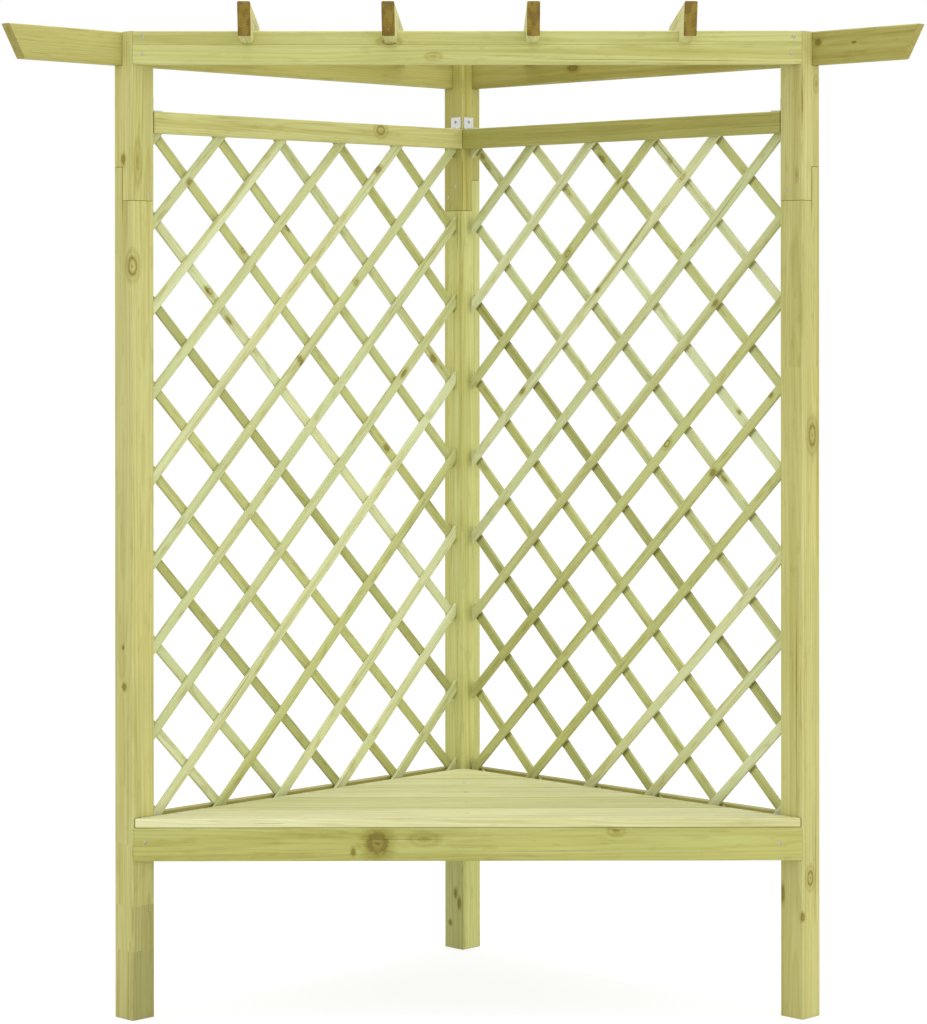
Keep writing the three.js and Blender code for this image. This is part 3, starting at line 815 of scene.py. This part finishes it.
# Angle brackets: bent from zinc-plated steel, one screw in each leg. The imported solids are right,
# so they stay and take a dull plated finish.
def plated(name, dull, bright):
    """Zinc plating: a mottled bloom of white rust over a dull grey."""
    plate = Finish(bpy.data.materials.new(name))
    spot = plate.node("ShaderNodeTexCoord", {}, {}, "Object")
    bloom = plate.noise(spot, (260, 260, 260), 3)
    flake = plate.noise(spot, (70, 70, 70), 2)
    grain = {"Strength": 0.3, "Distance": 0.0004, "Height": bloom}
    return plate.surface({
        "Base Color": plate.tint("MIX", plate.spread(bloom, 0.35, 0.65), dull, bright),
        "Metallic": 0.55 + flake * 0.3, "Roughness": 0.34 + bloom * 0.25,
        "Normal": plate.node("ShaderNodeBump", {}, grain),
    })


zinc = plated("zinc_plate", (0.66, 0.67, 0.66), (0.8, 0.81, 0.79))
for side in ("left", "right"):
    for end in ("front", "back"):
        for level in ("upper", "lower"):
            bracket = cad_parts[f"{side}_{end}_{level}_bracket"]
            bracket.data.materials.clear()
            bracket.data.materials.append(zinc)

# Screws: countersunk heads of zinc-plated steel with a six-lobed socket, driven flush. They hold
# the rail and the apron to the posts, the splices, the beams, the boards and the brackets.
HEAD_RADIUS, HEAD_DEPTH, HEAD_PROUD, SOCKET_DEPTH = 0.0038, 0.0016, 0.0002, 0.0009
HEAD_SIDES = 12
SOCKET_RIM, SOCKET_WAIST, SOCKET_LIP = HEAD_RADIUS * 0.4, 0.68, HEAD_RADIUS * 0.03
BEAM_SCREW_INSET, BEAM_SCREW_DROPS = 0.006, (0.018, 0.048)
BRACKET_HOLE, BRACKET_PLATE, BRACKET_ACROSS, BRACKET_INSET = 0.0156, 0.002, 0.014, 0.004


def drive_screw(heads, place, out):
    """Sets one head in the wood, facing out."""
    facing = Vector(out).normalized()
    turn = facing.to_track_quat("Z", "Y").to_matrix().to_4x4()
    sunk = Matrix.Translation(Vector(place) + facing * (HEAD_PROUD - HEAD_DEPTH / 2))
    made = bmesh.ops.create_cone(
        heads, cap_ends=True, segments=HEAD_SIDES, radius1=HEAD_RADIUS / 2, radius2=HEAD_RADIUS,
        depth=HEAD_DEPTH, matrix=sunk @ turn,
    )
    heads.normal_update()
    caps = {f for v in made["verts"] for f in v.link_faces if len(f.verts) == HEAD_SIDES}
    face = max(caps, key=lambda cap: cap.normal.dot(facing))
    bmesh.ops.inset_individual(heads, faces=[face], thickness=SOCKET_RIM)
    middle = face.calc_center_median()
    for corner in list(face.verts)[::2]:
        corner.co = middle + (corner.co - middle) * SOCKET_WAIST
    bmesh.ops.inset_individual(heads, faces=[face], thickness=SOCKET_LIP, depth=-SOCKET_DEPTH)


dull_zinc = plated("dull_zinc", (0.3, 0.29, 0.24), (0.62, 0.61, 0.55))

# Across and up: two screws in each end of the front rail, then one in each end of the apron
FRONT_SCREWS = (
    (-0.6393, 1.9384), (-0.6384, 1.9032), (0.6425, 1.9373), (0.6375, 1.9045),
    (-0.6352, 0.3507), (0.6147, 0.3482),
)
screws = bmesh.new()
for x, z in FRONT_SCREWS:
    drive_screw(screws, (x, FRONT_FACE, z), (0, -1, 0))

# The post, then how far across its inner face and how high
right_post = right_wall @ Matrix.Translation((WALL_SPAN, 0, 0))
SPLICE_SCREWS = (
    (left_wall, 0.0148, 1.631), (right_wall, 0.008, 1.6695), (right_wall, -0.0165, 1.645),
    (right_post, -0.0092, 1.637),
)
for place, x, z in SPLICE_SCREWS:
    drive_screw(screws, place @ Vector((x, -HALF_POST, z)), place.to_3x3() @ Vector((0, -1, 0)))

for wall in (left_wall, right_wall):
    for x in (BEAM_SCREW_INSET, WALL_SPAN - BEAM_SCREW_INSET):
        for drop in BEAM_SCREW_DROPS:
            at = wall @ Vector((x, HALF_POST, BEAM_TOP - drop))
            drive_screw(screws, at, wall.to_3x3() @ Vector((0, 1, 0)))

for index in range(len(BOARDS)):
    y = FRONT_FACE + index * board_pitch + board_width / 2
    beside = -y + bearer_middle * math.sqrt(2)
    places = (-beside, beside) if index == len(BOARDS) - 1 else (-beside, 0, beside)
    for x in places:
        drive_screw(screws, (x, y, SEAT_TOP), (0, 0, 1))

# For each bracket of a rail: the level of its fold, how far out it lies, and which way it points
BRACKETS = (
    (TOP_RAIL_TOP + FIT, BRACKET_INSET + BRACKET_ACROSS - HALF_POST, 1),
    (BOTTOM_RAIL_TOP - RAIL_HEIGHT - FIT, BOTTOM_RAIL_FACE + RAIL_THICKNESS - BRACKET_ACROSS, -1),
)
for wall in (left_wall, right_wall):
    for fold, inward in ((RAIL_START, 1), (RAIL_END, -1)):
        for z, y, up in BRACKETS:
            on_rail = (fold + inward * BRACKET_HOLE, y, z + up * BRACKET_PLATE)
            on_post = (fold + inward * BRACKET_PLATE, y, z + up * BRACKET_HOLE)
            drive_screw(screws, wall @ Vector(on_rail), wall.to_3x3() @ Vector((0, 0, up)))
            drive_screw(screws, wall @ Vector(on_post), wall.to_3x3() @ Vector((inward, 0, 0)))
seat_piece("screws", screws, dull_zinc, "zinc_plate")

# Staples: fine zinc-plated wire, shot in from outside wherever two laths cross and where a lath
# lies on the top rail. Only their crowns show.
CROWN, CROWN_EASED_EDGE = (0.010, 0.0006, 0.0012), 0.0002
STAPLE_MARGIN, RAIL_STAPLE_RISE = 0.008, 0.012
half_mesh = LATH_MESH / 2

staples = bmesh.new()
for node, wall, start, shift in (left_panel, right_panel):
    for across in range(-2 * LATH_COPIES, 2 * LATH_COPIES + 1):
        for rise in range(-2 * LATH_COPIES, 1):
            x = WALL_SPAN / 2 + shift + across * half_mesh
            z = CROSSING_LEVEL + rise * half_mesh
            is_crossing = (across + rise) % 2 == 1
            is_between = start + STAPLE_MARGIN < x < RAIL_END - STAPLE_MARGIN
            if is_crossing and is_between and z > PANEL_FOOT + STAPLE_MARGIN:
                level = z + RAIL_STAPLE_RISE if rise == 0 else z
                place = wall @ Matrix.Translation((x, LATH_BACK, level))
                bmesh.ops.create_cube(staples, size=1, matrix=place @ Matrix.Diagonal((*CROWN, 1)))
bevel(staples, staples.edges, CROWN_EASED_EDGE)
seat_piece("staples", staples, zinc, "zinc_plate")

# Floor, light and camera: a pale studio floor that fades into white, soft light from above and in
# front with weaker light round the sides, and the camera where the photograph was taken from.
FLOOR_REACH, FLOOR_DROP = 30, 0.0006
floor_shape = bmesh.new()
bmesh.ops.create_grid(floor_shape, x_segments=1, y_segments=1, size=FLOOR_REACH)
bmesh.ops.translate(floor_shape, verts=floor_shape.verts, vec=(0, 0, -FLOOR_DROP))
floor_mesh = bpy.data.meshes.new("studio_floor")
floor_shape.to_mesh(floor_mesh)
floor_shape.free()
paper = Finish(bpy.data.materials.new("studio_paper"))
matt = paper.node("ShaderNodeBsdfDiffuse", {}, {"Color": (0.78, 0.78, 0.78, 1)})
thin = paper.node("ShaderNodeBsdfDiffuse", {}, {"Color": (0.3, 0.3, 0.3, 1)})
glow = paper.node("ShaderNodeEmission", {}, {"Color": (1, 1, 1, 1), "Strength": 0.76})
seen = paper.node("ShaderNodeAddShader", {}, {0: thin, 1: glow})
eye = paper.node("ShaderNodeLightPath", {}, {}, "Is Camera Ray")
paper.node("ShaderNodeOutputMaterial", {}, {
    "Surface": paper.node("ShaderNodeMixShader", {}, {0: eye, 1: matt, 2: seen}),
})
floor_mesh.materials.append(paper.owner)
studio_floor = bpy.data.objects.new("studio_floor", floor_mesh)
bpy.context.scene.collection.objects.link(studio_floor)

studio = bpy.data.worlds.new("studio")
air = Finish(studio)
sky = air.node("ShaderNodeBackground", {}, {"Color": (1, 1, 1, 1), "Strength": 1})
air.node("ShaderNodeOutputWorld", {}, {"Surface": sky})
bpy.context.scene.world = studio

# For each lamp its place, its size across and its power
LAMPS = (
    ("top_lamp", (0, -0.5, 6.0), 3.0, 87),
    ("side_lamp", (4.5, -5.0, 1.5), 3.0, 55),
)
target = Vector((0, -0.4, 1.0))
for name, spot, size, power in LAMPS:
    lamp = bpy.data.lights.new(name, "AREA")
    lamp.shape, lamp.size, lamp.energy = "DISK", size, power
    holder = bpy.data.objects.new(name, lamp)
    bpy.context.scene.collection.objects.link(holder)
    holder.location = spot
    holder.rotation_euler = (target - Vector(spot)).to_track_quat("-Z", "Y").to_euler()

view = bpy.data.cameras.new("camera")
view.lens, view.sensor_width = 107.64, 36
view.shift_x, view.shift_y = 0.03236, -0.19996
camera = bpy.data.objects.new("camera", view)
bpy.context.scene.collection.objects.link(camera)
camera.location = (-0.10187, -6.727, 1.41017)
camera.rotation_euler = (math.pi / 2 - 0.00092, 0.00074, -0.00475)
bpy.context.scene.camera = camera
bpy.context.scene.view_settings.view_transform = "Standard"
